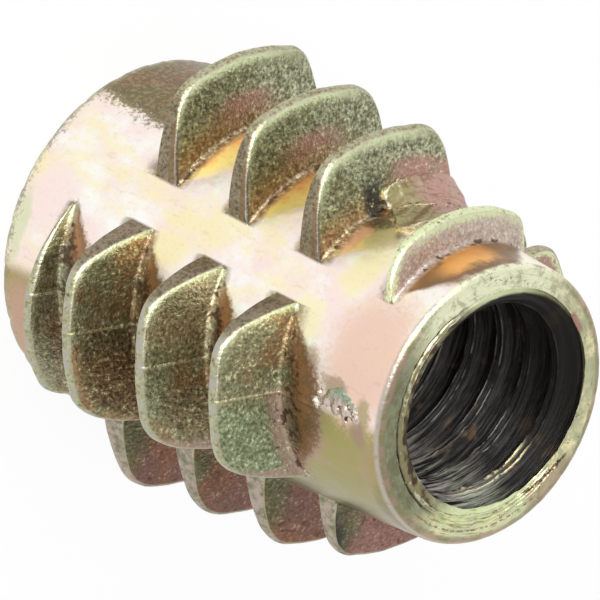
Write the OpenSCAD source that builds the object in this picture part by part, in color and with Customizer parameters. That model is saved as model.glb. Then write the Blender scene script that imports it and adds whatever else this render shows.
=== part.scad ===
// Threaded insert for wood: one die-cast body with an interrupted wood thread outside,
// a machine thread bore right through and a hexagonal drive socket in the wide end.
// The insert stands on its wide end, with +Z along the bore towards the pilot end.

/* [Body] */
// Length from the wide end to the pilot end
body_len = 13; // [12:0.5:20]
// Diameter of the core at the pilot end
pilot_d = 7.04; // [6.9:0.02:7.8]
// Angle by which the side of the core leans out towards the wide end, in degrees
core_taper = 3.3; // [1.5:0.1:4]
// Diameter of the rim at the wide end
rim_d = 8.8; // [8.7:0.1:10.4]
// Height of the flare between the rim and the core
flare_len = 2.9; // [2:0.1:4]
// Radius of the rounded edge of the rim
rim_round = 0.2; // [0.1:0.05:0.3]
// Radius of the rounded outer edge at the pilot end
pilot_round = 0.2; // [0.1:0.05:0.3]

/* [Wood thread] */
// Distance along the axis from one crest of the wood thread to the next
wood_pitch = 2.54; // [2.3:0.02:3.2]
// Height of the thread above the core
thread_height = 1.7; // [1.2:0.02:2]
// Thickness of the thread at its root
root_thick = 0.72; // [0.6:0.02:1]
// Thickness of the thread at its crest
crest_thick = 0.26; // [0.2:0.02:0.5]
// Slope of the flank that faces the pilot end, in degrees
lead_flank = 11; // [6:0.5:14]
// Length of plain core between the pilot end and the middle of the first fin
plain_len = 1.455; // [1.2:0.005:3]
// Height of the thread at its start
start_height = 0.72; // [0.4:0.02:1.1]
// Turns after which the thread begins to grow from this low height
start_turns = 0.4; // [0.2:0.05:1]
// Turns in which the thread then grows to its full height
growth_turns = 0.3; // [0.2:0.05:1]
// Height of the last fin, beside the rim
last_height = 0.92; // [0.5:0.02:1.2]
// Angle over which the last fin gains this height, in degrees
run_out_angle = 35; // [20:1:60]
// Thickness of the last fin at the middle of its crest
last_crest = 0.15; // [0.12:0.01:0.3]
// Angle at which the two flanks of the last fin run together towards its upper end, in degrees
run_out_slant = 3; // [0:0.25:4]

/* [Fins] */
// Half the angle that a fin on the parting plane covers at its root, in degrees
side_root_angle = 35; // [28:0.5:40]
// Half the angle that a fin on the upper die half covers at its root, in degrees
upper_root_angle = 38.5; // [28:0.5:41]
// Half the angle that a fin on the lower die half covers at its root, in degrees
lower_root_angle = 35; // [28:0.5:41]
// Angle that the lower end of a fin on the parting plane gains with each turn, in degrees
side_gain = 1.2; // [0:0.1:2]
// Slope of the ends of a fin, as the angle that one millimetre of height takes, in degrees
end_slope = 10.5; // [6:0.5:14]
// Size of the rounding where the crest of a fin meets its ends
end_round = 0.5; // [0.2:0.05:0.8]

/* [Machine thread] */
// Diameter of the bore at the crests of the machine thread
bore_d = 5; // [4.6:0.05:5.2]
// Width of the shallow dish round the mouth of the bore at the pilot end
mouth_d = 5.5; // [5.4:0.05:6.2]
// Depth of this dish
mouth_depth = 0.1; // [0.05:0.05:0.3]

/* [Drive] */
// Width of the hexagonal socket across its flats
hex_flats = 6; // [5.6:0.1:6.2]
// Depth of the hexagonal socket
hex_depth = 4; // [3:0.5:5]

/* [Hidden] */
$fn = 96;
pilot_r = pilot_d / 2;
rim_r = rim_d / 2;
bore_r = bore_d / 2;
mouth_r = mouth_d / 2;
// Straight band at the rim, and the height at which the flare ends
rim_band = 0.3;
flare_top = rim_band + flare_len;
// Overlap that keeps touching solids from sharing a face
eps = 0.01;
// Fins in one turn: the upper one, one on the parting plane, the lower one and the other side one
root_angles = [upper_root_angle, side_root_angle, lower_root_angle, side_root_angle];
columns = len(root_angles);
fin_rise = wood_pitch / columns;
fin_step = 360 / columns;
// The first fin is on the upper die half, at 90 degrees
first_angle = 90;
first_z = body_len - plain_len;
// The last fin keeps its rear root clear of the band at the rim
last_z = rim_band + 2 * root_thick;
fin_count = 1 + floor((first_z - last_z) / fin_rise);
// Angle between the points of a fin's outline, and the angle by which it goes on past the ends
fin_facet = 3;
end_sink = 2;
// Depth at which the outline stays inside the core past the ends of a fin
end_depth = 0.3;
// Reach of the flanks inside the core and past the crest
flank_sink = 0.8;
flank_over = 0.1;

function core_r(z) = pilot_r + (body_len - z) * tan(core_taper);

function is_last(i) = i == fin_count - 1;

function root_angle(i) = root_angles[i % columns];

// True at the lower end of a fin on the parting plane: one of them has it behind, the other ahead
function is_lower_end(i, a) = i % 2 == 1 && a * (i % columns - 2) > 0;

// Angle from the middle of fin i to its root, on the side that the angle a is on
function end_angle(i, a) = root_angle(i) + (is_lower_end(i, a) ? side_gain * i / columns : 0);

// Smaller of a and b, with a soft change over the range k
function soft_min(a, b, k) =
    let (h = max(k - abs(a - b), 0) / k)
    min(a, b) - h * h * k / 4;

// Height of the thread, by the turns run since the middle of the first fin
function thread_at(turns) =
    start_height + (thread_height - start_height) * min(1, max(0, (turns - start_turns) / growth_turns));

// Height at which the last fin runs out, at the angle a from its middle
function run_out_at(i, a) =
    soft_min(last_height, last_height * (a + root_angle(i)) / run_out_angle, end_round);

// Height of fin i at the angle a from its middle
function fin_height(i, a) =
    let (crest = is_last(i) ? run_out_at(i, a) : thread_at((i - a / fin_step) / columns))
    soft_min(crest, (end_angle(i, a) - abs(a)) / end_slope, end_round);

// Height of fin i at its middle, where its crest has its full thickness
function top_height(i) = is_last(i) ? last_height : thread_at(i / columns);

// Fin i as seen along the axis of the thread, closed by a straight line inside the core
module fin_outline(i, r) {
    half_angle = root_angle(i) + side_gain * fin_count / columns + end_sink;
    polygon([for (a = [-half_angle:fin_facet:half_angle + eps])
        (r + max(fin_height(i, a), -end_depth)) * [cos(a), sin(a)]]);
}

// All that is behind the front flank, whose root is on the line y = 0
module front_section(r) {
    lead = tan(lead_flank);
    over = thread_height + flank_over;
    polygon([
        [r - flank_sink, flank_sink * lead],
        [r - flank_sink, -2 * root_thick],
        [r + over, -2 * root_thick],
        [r + over, -over * lead]
    ]);
}

// All that is ahead of the rear flank of a fin with the height h and a crest of the thickness t
module rear_section(r, h, t) {
    lead = tan(lead_flank);
    trail = (root_thick - crest_thick) / thread_height - lead;
    root = t + h * (lead + trail);
    over = thread_height + flank_over;
    polygon([
        [r - flank_sink, root_thick],
        [r - flank_sink, -root - flank_sink * trail],
        [r + over, -root + over * trail],
        [r + over, root_thick]
    ]);
}

// Fin i: the two flanks, tilted to the lead of the thread and cut to the outline of the fin
module fin(i) {
    z = first_z - i * fin_rise;
    r = core_r(z);
    lead_angle = atan(wood_pitch / (2 * PI * (r + thread_height / 2)));
    slant = is_last(i) ? run_out_slant : 0;
    crest = is_last(i) ? last_crest : crest_thick;
    rotate([0, 0, first_angle - i * fin_step])
    translate([0, 0, z])
    rotate([lead_angle, 0, 0])
    intersection() {
        rotate_extrude() front_section(r);
        rotate([-slant, 0, 0]) rotate_extrude() rear_section(r, top_height(i), crest);
        translate([0, 0, -2 * root_thick]) linear_extrude(height = 3 * root_thick) fin_outline(i, r);
    }
}

module core() {
    rotate_extrude()
        polygon([
            [0, 0],
            [rim_r - rim_round, 0],
            [rim_r, rim_round],
            [rim_r, rim_band],
            [core_r(flare_top), flare_top],
            [core_r(body_len - pilot_round), body_len - pilot_round],
            [pilot_r - pilot_round, body_len],
            [0, body_len]
        ]);
}

module machine_bore() {
    spread = (mouth_r - bore_r) / mouth_depth;
    translate([0, 0, -1]) cylinder(r = bore_r, h = body_len + 2);
    translate([0, 0, body_len - mouth_depth])
        cylinder(r1 = bore_r, r2 = mouth_r + eps * spread, h = mouth_depth + eps);
}

module hex_socket() {
    translate([0, 0, -1]) cylinder(d = hex_flats / cos(30), h = hex_depth + 1, $fn = 6);
}

module insert_body() {
    color([0.78, 0.74, 0.5])
    difference() {
        union() {
            core();
            for (i = [0:fin_count - 1]) fin(i);
        }
        machine_bore();
        hex_socket();
    }
}

insert_body();
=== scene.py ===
"""Looks of a screw-in insert for wood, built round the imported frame.

The cast body is one closed mesh: an interrupted wood thread outside, a machine thread inside and a
hexagonal socket in the wide end. A scrap of casting flash and a small scar sit on it. The insert
stands on the wide end, with +Z along the bore, in metres. Angles run from +X towards +Y.
"""

import logging
import math
from dataclasses import dataclass, field
from enum import Enum
from typing import Dict, List, Sequence, Tuple, Union

import bmesh
import bpy
import numpy as np
from mathutils import Matrix, Vector


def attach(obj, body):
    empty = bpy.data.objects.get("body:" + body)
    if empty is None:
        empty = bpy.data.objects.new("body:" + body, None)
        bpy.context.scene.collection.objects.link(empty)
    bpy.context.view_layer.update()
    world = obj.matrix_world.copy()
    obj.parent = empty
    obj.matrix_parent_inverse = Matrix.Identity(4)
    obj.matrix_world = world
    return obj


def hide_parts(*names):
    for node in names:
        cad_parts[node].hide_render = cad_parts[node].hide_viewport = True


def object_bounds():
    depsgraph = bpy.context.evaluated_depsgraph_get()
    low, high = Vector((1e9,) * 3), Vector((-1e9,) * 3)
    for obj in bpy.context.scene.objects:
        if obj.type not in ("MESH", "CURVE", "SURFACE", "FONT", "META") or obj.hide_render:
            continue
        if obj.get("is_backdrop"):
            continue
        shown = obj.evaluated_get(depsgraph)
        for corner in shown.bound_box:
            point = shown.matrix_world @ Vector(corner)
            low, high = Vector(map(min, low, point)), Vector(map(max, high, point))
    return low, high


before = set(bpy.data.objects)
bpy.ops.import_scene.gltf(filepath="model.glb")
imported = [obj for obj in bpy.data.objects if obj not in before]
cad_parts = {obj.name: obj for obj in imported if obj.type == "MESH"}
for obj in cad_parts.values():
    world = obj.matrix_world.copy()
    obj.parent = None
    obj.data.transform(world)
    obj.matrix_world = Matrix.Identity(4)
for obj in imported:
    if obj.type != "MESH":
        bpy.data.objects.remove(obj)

LOG = logging.getLogger("insert")
MM = 0.001
Triple = Tuple[float, float, float]
Colour = Triple
Grid = Dict[str, np.ndarray]
# what goes into a node: a number, a colour, or what another node gives
Socket = bpy.types.NodeSocket
Number = Union["Tone", float]
Paint = Union["Tone", Colour]
Feed = Union["Tone", Colour, float]
Key = Union[int, str]


class Zone(Enum):
    """Kinds of surface on the casting, each stored as a mask on the mesh."""

    CORE = 0
    LEAD_FLANK = 1
    CREST = 2
    TRAIL_FLANK = 3
    PILOT_RING = 4
    BORE = 5
    SOCKET = 6

    @property
    def mask(self) -> str:
        """Name of the mask on the mesh."""
        return self.name.lower()


def soft_min(a: float, b: float, blend: float) -> float:
    """Smaller of two values, with a soft change between them over the range blend."""
    share = max(blend - abs(a - b), 0.0) / blend
    return min(a, b) - share * share * blend / 4


def smooth_step(x: np.ndarray) -> np.ndarray:
    """Smooth rise from 0 to 1 as x goes from 0 to 1."""
    x = np.clip(x, 0.0, 1.0)
    return x * x * (3 - 2 * x)


def window(x: np.ndarray, low: float, high: float, soft: float) -> np.ndarray:
    """1 between low and high and 0 outside, with soft borders."""
    return smooth_step((x - low) / soft + 0.5) * smooth_step((high - x) / soft + 0.5)


def ripple(x: np.ndarray, seed: float) -> np.ndarray:
    """Uneven wave between about -1 and 1, the same on every run.

    Args:
        x: Places along the wave.
        seed: Number that sets it apart from other waves.

    Returns:
        The wave at these places.
    """
    waves = ((1.0, 1.0), (2.3, 0.6), (4.1, 0.4), (7.7, 0.25))
    total = sum(size * np.sin(rate * x + seed * (k + 1.7)) for k, (rate, size) in enumerate(waves))
    return total / sum(size for _, size in waves)


def corner_arc(
    before: np.ndarray, corner: np.ndarray, after: np.ndarray, sizes: Tuple[float, float], count: int
) -> np.ndarray:
    """Rounds one corner of a section.

    Args:
        before: Point before the corner.
        corner: The corner itself.
        after: Point after the corner.
        sizes: How far the rounding reaches from the corner, on the side of before and of after.
        count: Number of points on the rounding.

    Returns:
        The points of the rounding, from the side of before to the side of after.
    """
    back = before - corner
    ahead = after - corner
    back = back / max(float(np.hypot(*back)), 1e-9)
    ahead = ahead / max(float(np.hypot(*ahead)), 1e-9)
    share = np.linspace(0.0, 1.0, count)[:, None]
    start = corner + back * sizes[0]
    end = corner + ahead * sizes[1]
    return (1 - share) ** 2 * start + 2 * share * (1 - share) * corner + share**2 * end


def straight(start: np.ndarray, end: np.ndarray, count: int) -> np.ndarray:
    """Points between two others, without those two."""
    share = np.linspace(0.0, 1.0, count + 2)[1:-1, None]
    return start * (1 - share) + end * share


def add_piece(name: str, points: np.ndarray, faces: np.ndarray, masks: Grid) -> bpy.types.Object:
    """Makes one closed mesh, merges its doubled points and links it to the scene.

    Args:
        name: Name of the piece.
        points: Places of the points, one row each.
        faces: Point numbers of the faces, four in a row.
        masks: Values to store on the points, by name.

    Returns:
        The new object.
    """
    mesh = bpy.data.meshes.new(name)
    mesh.from_pydata(points.tolist(), [], faces.tolist())
    for key, values in masks.items():
        layer = mesh.attributes.new(key, "FLOAT", "POINT")
        layer.data.foreach_set("value", np.asarray(values, np.float32).ravel())
    work = bmesh.new()
    work.from_mesh(mesh)
    bmesh.ops.remove_doubles(work, verts=work.verts, dist=1e-6)
    bmesh.ops.dissolve_degenerate(work, edges=work.edges, dist=1e-7)
    bmesh.ops.recalc_face_normals(work, faces=work.faces)
    work.to_mesh(mesh)
    open_edges = sum(1 for e in work.edges if len(e.link_faces) != 2)
    triangles = sum(len(f.verts) - 2 for f in work.faces)
    LOG.info("%s: %d points, %d triangles, %d open edges", name, len(work.verts), triangles, open_edges)
    work.free()
    mesh.shade_smooth()
    mesh.set_sharp_from_angle(angle=math.radians(40))
    thing = bpy.data.objects.new(name, mesh)
    bpy.context.scene.collection.objects.link(thing)
    return thing


@dataclass(frozen=True)
class BodySizes:
    """Sizes of the sleeve, in metres and degrees."""

    length: float = 13 * MM
    pilot_radius: float = 3.52 * MM
    taper: float = 3.3
    rim_radius: float = 4.4 * MM
    rim_band: float = 0.3 * MM
    flare_length: float = 2.9 * MM
    flare_blend: float = 0.04 * MM
    rim_round: float = 0.2 * MM
    rim_wear: float = 0.04 * MM
    pilot_round: float = 0.2 * MM

    def core_radius(self, z: np.ndarray) -> np.ndarray:
        """Radius of the smooth side of the sleeve.

        Args:
            z: Heights above the wide end.

        Returns:
            The radii at these heights.
        """
        z = np.asarray(z, float)
        cone = self.pilot_radius + (self.length - z) * math.tan(math.radians(self.taper))
        top = self.rim_band + self.flare_length
        foot = self.pilot_radius + (self.length - top) * math.tan(math.radians(self.taper))
        flare = foot + (self.rim_radius - foot) * np.minimum((top - z) / self.flare_length, 1.0)
        return 0.5 * (cone + flare + np.sqrt((cone - flare) ** 2 + self.flare_blend**2))


@dataclass(frozen=True)
class WoodThread:
    """Sizes of the interrupted wood thread, in metres and degrees."""

    pitch: float = 2.54 * MM
    height: float = 1.7 * MM
    root_thick: float = 0.72 * MM
    crest_thick: float = 0.26 * MM
    lead_flank: float = 11.0
    first_z: float = 11.545 * MM
    start_height: float = 0.72 * MM
    start_turns: float = 0.4
    growth_turns: float = 0.3
    last_height: float = 0.92 * MM
    last_reach: float = 33.0
    run_out_angle: float = 35.0
    last_crest: float = 0.2 * MM
    fins: int = 16
    columns: int = 4
    root_angles: Tuple[float, ...] = (38.5, 35.0, 35.0, 35.0)
    side_gain: float = 1.2
    end_slope: float = 10.5
    odd_ends: Tuple[Tuple[int, int, float, float], ...] = (
        (1, 1, 44.4, 10.5),
        (0, -1, 41.5, 10.5),
        (0, 1, 40.0, 17.0),
    )
    end_round: float = 0.5 * MM
    square_fins: Tuple[int, ...] = (0, 12)
    square_round: float = 0.3 * MM
    front_edge: Tuple[float, float] = (0.2 * MM, 0.12 * MM)
    rear_edge: float = 0.06 * MM
    root_fillet: float = 0.09 * MM
    crest_wear: float = 0.02 * MM

    @property
    def lead_slope(self) -> float:
        """Run of the leading flank for each metre of height."""
        return math.tan(math.radians(self.lead_flank))

    @property
    def trail_slope(self) -> float:
        """Run of the trailing flank for each metre of height."""
        return (self.root_thick - self.crest_thick) / self.height - self.lead_slope

    def root_z(self, fin: int, a: float) -> float:
        """Height of the leading root line of a fin, at the angle a from its middle."""
        return self.first_z + self.pitch * (a / 360.0 - fin / self.columns)

    def end_angle(self, fin: int, a: float) -> float:
        """Angle from the middle of a fin to its root, on the side of the angle a.

        Args:
            fin: Number of the fin, counted from the pilot end.
            a: Angle from the middle of the fin, in degrees.

        Returns:
            The angle in degrees.
        """
        column = fin % self.columns
        for odd, side, reach, _ in self.odd_ends:
            if fin == odd and a * side > 0:
                return reach
        lower = column % 2 == 1 and a * (column - 2) > 0
        return self.root_angles[column] + (self.side_gain * fin / self.columns if lower else 0.0)

    def full_height(self, fin: int, a: float) -> float:
        """Height of the thread at a fin, without the fin's ends.

        Args:
            fin: Number of the fin, counted from the pilot end.
            a: Angle from the middle of the fin, in degrees.

        Returns:
            The height above the core.
        """
        if fin == self.fins - 1:
            rise = self.last_height * (a + self.last_reach) / self.run_out_angle
            return max(soft_min(self.last_height, rise, self.end_round), 0.0)
        turns = (fin - a / 90.0) / self.columns
        share = min(1.0, max(0.0, (turns - self.start_turns) / self.growth_turns))
        return self.start_height + (self.height - self.start_height) * share

    def fin_height(self, fin: int, a: float) -> float:
        """Height of a fin, with its sloped, rounded and worn ends.

        Args:
            fin: Number of the fin, counted from the pilot end.
            a: Angle from the middle of the fin, in degrees.

        Returns:
            The height above the core.
        """
        slopes = [slope for odd, side, _, slope in self.odd_ends if fin == odd and a * side > 0]
        end = (self.end_angle(fin, a) - abs(a)) / (slopes or [self.end_slope])[0] * MM
        square = fin in self.square_fins and a < 0
        whole = soft_min(self.full_height(fin, a), end, self.square_round if square else self.end_round)
        wear = self.crest_wear * float(ripple(np.array(a / 4.0), fin))
        return max(whole + wear * min(1.0, max(whole, 0.0) / self.last_height), 0.0)

    def crest_width(self, fin: int, a: float) -> float:
        """Thickness of a fin where it has its full height.

        Args:
            fin: Number of the fin, counted from the pilot end.
            a: Angle from the middle of the fin, in degrees.

        Returns:
            The thickness of its crest.
        """
        reach = self.end_angle(fin, a)
        if fin == self.fins - 1:
            return self.last_crest * min(1.0, max(0.12, (a + reach) / (0.9 * reach)))
        if fin == 0:
            return self.crest_thick * min(1.0, max(0.12, (reach - 1.0 - a) / (0.45 * reach)))
        return self.crest_thick


@dataclass(frozen=True)
class MachineThread:
    """Sizes of the thread in the bore and of the shallow dish at its mouth, in metres and degrees."""

    pitch: float = 1.0 * MM
    crest_radius: float = 2.5 * MM
    groove_radius: float = 2.98 * MM
    dish_radius: float = 2.75 * MM
    dish_depth: float = 0.1 * MM
    crest_flat: float = 0.24
    crest_split: float = 0.07 * MM
    groove_flat: float = 0.16
    phase: float = 0.4
    burr: float = 0.05 * MM
    burr_middle: float = 290.0
    burr_reach: float = 48.0

    def radius(self, turn: np.ndarray) -> np.ndarray:
        """Radius of the thread in the bore.

        Args:
            turn: Place along the axis in pitches, from the middle of a crest.

        Returns:
            The radius there, between the crest and the bottom of the groove.
        """
        away = np.abs(turn - np.round(turn))
        share = (away - self.crest_flat / 2) / (0.5 - self.crest_flat / 2 - self.groove_flat / 2)
        share = np.clip(share, 0.0, 1.0)
        share = share * share * (3 - 2 * share) * 0.35 + share * 0.65
        split = self.crest_split * np.exp(-((away / 0.05) ** 2))
        return self.crest_radius + (self.groove_radius - self.crest_radius) * share + split

    def burrs(self, turn: np.ndarray, angle: np.ndarray, z: np.ndarray) -> np.ndarray:
        """Height of the torn burrs on the edges of the crests, which stand into the bore near its mouth.

        Args:
            turn: Place along the axis in pitches, from the middle of a crest.
            angle: Angles in degrees.
            z: Heights above the wide end.

        Returns:
            The heights of the burrs.
        """
        away = np.abs(turn - np.round(turn))
        edge = np.exp(-(((away - self.crest_flat / 2) / 0.03) ** 2))
        side = np.abs(np.mod(angle - self.burr_middle + 180.0, 360.0) - 180.0)
        near = smooth_step((self.burr_reach - side) / 12.0) * smooth_step((z - 9.2 * MM) / (1.2 * MM))
        torn = np.clip(ripple(np.radians(angle) * 16.0 + np.round(turn) * 2.3, 3.1) + 0.15, 0.0, 1.0)
        return self.burr * edge * near * torn


@dataclass(frozen=True)
class HexSocket:
    """Sizes of the drive socket in the wide end, in metres."""

    flats: float = 6.0 * MM
    depth: float = 4.0 * MM
    edge: float = 0.06 * MM

    def radius(self, angles: np.ndarray) -> np.ndarray:
        """Distance from the axis to the wall of the socket at each angle, in degrees."""
        return self.flats / 2 / np.cos(np.radians(np.mod(angles, 60.0) - 30.0))


@dataclass(frozen=True)
class RingFace:
    """Small relief of the annular face at the pilot end, in metres and degrees."""

    line_step: float = 0.085 * MM
    line_depth: float = 0.018 * MM
    line_middle: float = 272.0
    line_reach: float = 50.0
    groove_radius: float = 2.89 * MM
    groove_depth: float = 0.05 * MM
    pit_depth: float = 0.02 * MM
    chip_angle: float = 30.0
    chip_radius: float = 2.93 * MM
    chip_depth: float = 0.07 * MM
    nick_angle: float = 305.0
    nick_depth: float = 0.05 * MM
    bead_radius: float = 3.17 * MM
    bead_height: float = 0.03 * MM

    def drop(self, angle: np.ndarray, radius: np.ndarray) -> np.ndarray:
        """How far the face lies below the plane of the pilot end.

        Args:
            angle: Angles in degrees, from 0 to 360.
            radius: Distances from the axis.

        Returns:
            The depths at these places.
        """
        mm = radius / MM
        side = np.abs(angle - self.line_middle)
        turned = smooth_step((self.line_reach - side) / 14.0) * window(mm, 2.6, 3.06, 0.08)
        lines = self.line_depth * turned * (1 + np.sin(radius / self.line_step * math.tau + 0.02 * angle))
        left = window(angle, 118.0, 236.0, 12.0)
        groove = self.groove_depth * left * np.exp(-(((radius - self.groove_radius) / (0.035 * MM)) ** 2))
        chip = self.chip_depth * np.exp(-(((angle - self.chip_angle) / 5.0) ** 4))
        chip = chip * np.exp(-(((radius - self.chip_radius) / (0.13 * MM)) ** 4))
        slant = self.nick_angle - (mm - 3.05) * 14.0
        nick = self.nick_depth * np.exp(-(((angle - slant) / 0.9) ** 2)) * window(mm, 3.04, 3.44, 0.05)
        beads = np.clip(ripple(angle * 0.9, 5.0), 0.0, 1.0) * window(angle, 228.0, 264.0, 6.0)
        beads = self.bead_height * beads * np.exp(-(((radius - self.bead_radius) / (0.04 * MM)) ** 2))
        pits = ripple(angle * 0.31 + mm * 9.0, 1.3) * ripple(angle * 0.17 - mm * 14.0, 4.2)
        pits = self.pit_depth * (1 + np.clip(2.5 * pits, -1.0, 1.0))
        return lines + groove + chip + nick + pits - beads


@dataclass(frozen=True)
class PartingLine:
    """Thin raised line where the two halves of the die met, in metres."""

    offset: float = 0.1 * MM
    width: float = 0.03 * MM
    height: float = 0.016 * MM
    columns: Tuple[float, ...] = (0.7, 0.95, 1.15, 1.3, 1.43, 1.56, 1.7, 1.95, 2.2)

    def rise(self, radius: np.ndarray, angle: np.ndarray) -> np.ndarray:
        """Height of the line above the surface, at places given by radius and angle in degrees."""
        y = radius * np.sin(np.radians(angle))
        return self.height * np.exp(-(((y - self.offset) / self.width) ** 2))


@dataclass
class Ring:
    """One closed ring of the cast mesh, with an entry for each column."""

    radius: np.ndarray
    height: np.ndarray
    zone: np.ndarray
    lift: np.ndarray
    depth: np.ndarray


@dataclass
class CastBody:
    """The cast body of the insert, as one closed mesh of rings and columns."""

    body: BodySizes = field(default_factory=BodySizes)
    wood: WoodThread = field(default_factory=WoodThread)
    machine: MachineThread = field(default_factory=MachineThread)
    socket: HexSocket = field(default_factory=HexSocket)
    face: RingFace = field(default_factory=RingFace)
    parting: PartingLine = field(default_factory=PartingLine)
    quarter_steps: Tuple[Tuple[float, int], ...] = (
        (5, 4), (10, 11), (15, 15), (30, 18), (15, 15), (10, 11), (5, 4)
    )
    fin_rows: Tuple[int, ...] = (4, 4, 6, 1, 3, 3, 4)
    gap_rows: int = 6
    thread_rows: Tuple[float, ...] = (
        -0.5, -0.4, -0.28, -0.16, -0.11, -0.06, 0.0, 0.06, 0.11, 0.16, 0.28, 0.4
    )
    mouth_start: float = 12.86 * MM
    mouth_rows: int = 5
    face_rows: int = 26
    round_rows: int = 5
    deep: float = 2.0
    low_limit: float = 0.02 * MM
    turn: np.ndarray = field(default_factory=lambda: np.zeros(0))
    rings: List[Ring] = field(default_factory=list)
    bore_span: Tuple[int, int] = (0, 0)

    def column_angles(self, quarter: int) -> List[float]:
        """Angles of the columns within a quarter, from its middle, in degrees.

        Args:
            quarter: 0 to 3, counted along the thread from the first fin.

        Returns:
            The angles, with more of them at the parting line.
        """
        angles = [-45.0]
        for span, count in self.quarter_steps:
            angles += [angles[-1] + span * (k + 1) / count for k in range(count)]
        if quarter % 2 == 1:
            sign = 1.0 if quarter == 1 else -1.0
            fine = [sign * a for a in self.parting.columns]
            angles = [a for a in angles if min(abs(a - b) for b in fine) > 0.2] + fine
        return sorted(angles)

    def fin_section(self, fin: int, a: float) -> Tuple[np.ndarray, np.ndarray, float]:
        """Section of one fin at the angle a from its middle.

        Args:
            fin: Number of the fin, counted from the pilot end.
            a: Angle from the middle of the fin, in degrees.

        Returns:
            Points as pairs of (distance behind the leading root, height above the core), the zone of
            each point, and the height of the fin here.
        """
        wood = self.wood
        height = wood.fin_height(fin, a)
        root = wood.crest_width(fin, a) + wood.full_height(fin, a) * (wood.lead_slope + wood.trail_slope)
        foot = np.array([0.0, 0.0])
        front = np.array([height * wood.lead_slope, height])
        rear = np.array([root - height * wood.trail_slope, height])
        heel = np.array([root, 0.0])
        crest = rear[0] - front[0]
        fillet = (min(wood.root_fillet, 0.45 * height),) * 2
        edge = (min(wood.front_edge[0], 0.4 * height), min(wood.front_edge[1], 0.5 * crest))
        back = (min(wood.rear_edge, 0.3 * crest), min(wood.rear_edge, 0.3 * height))
        rows = self.fin_rows
        ahead = foot - np.array([1 * MM, 0.0])
        behind = heel + np.array([1 * MM, 0.0])
        arcs = [
            corner_arc(ahead, foot, front, fillet, rows[0]),
            corner_arc(foot, front, rear, edge, rows[2]),
            corner_arc(front, rear, heel, back, rows[4]),
            corner_arc(rear, heel, behind, fillet, rows[6]),
        ]
        parts = [arcs[0]]
        for arc, count in zip(arcs[1:], rows[1::2]):
            parts += [straight(parts[-1][-1], arc[0], count), arc]
        half = rows[2] // 2
        kinds = [Zone.LEAD_FLANK] * (rows[0] + rows[1] + half)
        kinds += [Zone.CREST] * (rows[2] - half + rows[3] + rows[4])
        kinds += [Zone.TRAIL_FLANK] * (rows[5] + rows[6])
        if height < self.low_limit:
            kinds = [Zone.CORE] * len(kinds)
        return np.concatenate(parts), np.array([kind.value for kind in kinds]), height

    def outer_column(self, quarter: int, a: float) -> Grid:
        """Rows of the outside from the pilot end to the rim, at one angle of a quarter.

        Args:
            quarter: 0 to 3, counted along the thread from the first fin.
            a: Angle from the middle of the quarter, in degrees.

        Returns:
            Arrays of height z, height q above the core, zone, and depth below the crest in millimetres.
        """
        rows: List[Tuple[np.ndarray, ...]] = []

        def core_rows(heights: np.ndarray) -> None:
            """Adds rows on the plain core."""
            none = np.zeros(len(heights))
            rows.append((heights, none, none + Zone.CORE.value, none + self.deep))

        last = self.body.length - self.body.pilot_round
        for turn in range(self.wood.fins // self.wood.columns):
            fin = quarter + turn * self.wood.columns
            points, zones, height = self.fin_section(fin, a)
            heights = self.wood.root_z(fin, a) - points[:, 0]
            core_rows(np.linspace(last, heights[0], self.gap_rows + 2)[min(turn, 1) : -1])
            flat = height < self.low_limit
            depth = self.deep * np.ones(len(points)) if flat else (height - points[:, 1]) / MM
            rows.append((heights, points[:, 1], zones, depth))
            last = heights[-1]
        core_rows(np.linspace(last, self.body.rim_band, self.gap_rows + 2)[1:])
        joined = [np.concatenate(parts) for parts in zip(*rows)]
        return dict(zip(("z", "q", "zone", "depth"), joined))

    def outer_grid(self) -> Grid:
        """Grid of the outside.

        Near the borders of the quarters the rows move over to the rows that both quarters share.

        Returns:
            Arrays by column and row, with the angle of each column.
        """
        angles = [self.column_angles(k) for k in range(4)]
        quarters = [[self.outer_column(k, a) for a in angles[k]] for k in range(4)]
        grid: Dict[str, List[np.ndarray]] = {key: [] for key in ("turn", "z", "q", "zone", "depth")}
        for k in (3, 2, 1, 0):
            upper = 0.5 * (quarters[k][-1]["z"] + quarters[k - 1][0]["z"])
            lower = 0.5 * (quarters[k][0]["z"] + quarters[(k + 1) % 4][-1]["z"])
            for a, column in zip(angles[k][:-1], quarters[k]):
                reach = max(self.wood.end_angle(k + 4 * t, a) for t in range(4)) + 0.3
                share = float(smooth_step(np.array((abs(a) - reach) / (45.0 - reach))))
                grid["turn"].append(90.0 - 90.0 * k + a)
                grid["z"].append(column["z"] * (1 - share) + (upper if a > 0 else lower) * share)
                for key in ("q", "zone", "depth"):
                    grid[key].append(column[key])
        return {key: np.array(values) for key, values in grid.items()}

    def add_ring(self, radius: np.ndarray, height: np.ndarray, zone: Zone) -> None:
        """Adds one ring that isn't part of a fin.

        Args:
            radius: Distance from the axis, for each column or for all.
            height: Height above the wide end, for each column or for all.
            zone: Kind of surface.
        """
        ones = np.ones(len(self.turn))
        self.rings.append(Ring(radius * ones, height * ones, zone.value * ones, 0 * ones, self.deep * ones))

    def build(self) -> bpy.types.Object:
        """Makes the mesh of the cast body.

        Returns:
            The new object, with its masks stored on the mesh.
        """
        grid = self.outer_grid()
        self.turn = grid["turn"]
        self.outer_rings(grid)
        self.rim_rings()
        self.socket_rings()
        self.bore_rings()
        self.face_rings()
        return self.mesh()

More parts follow.
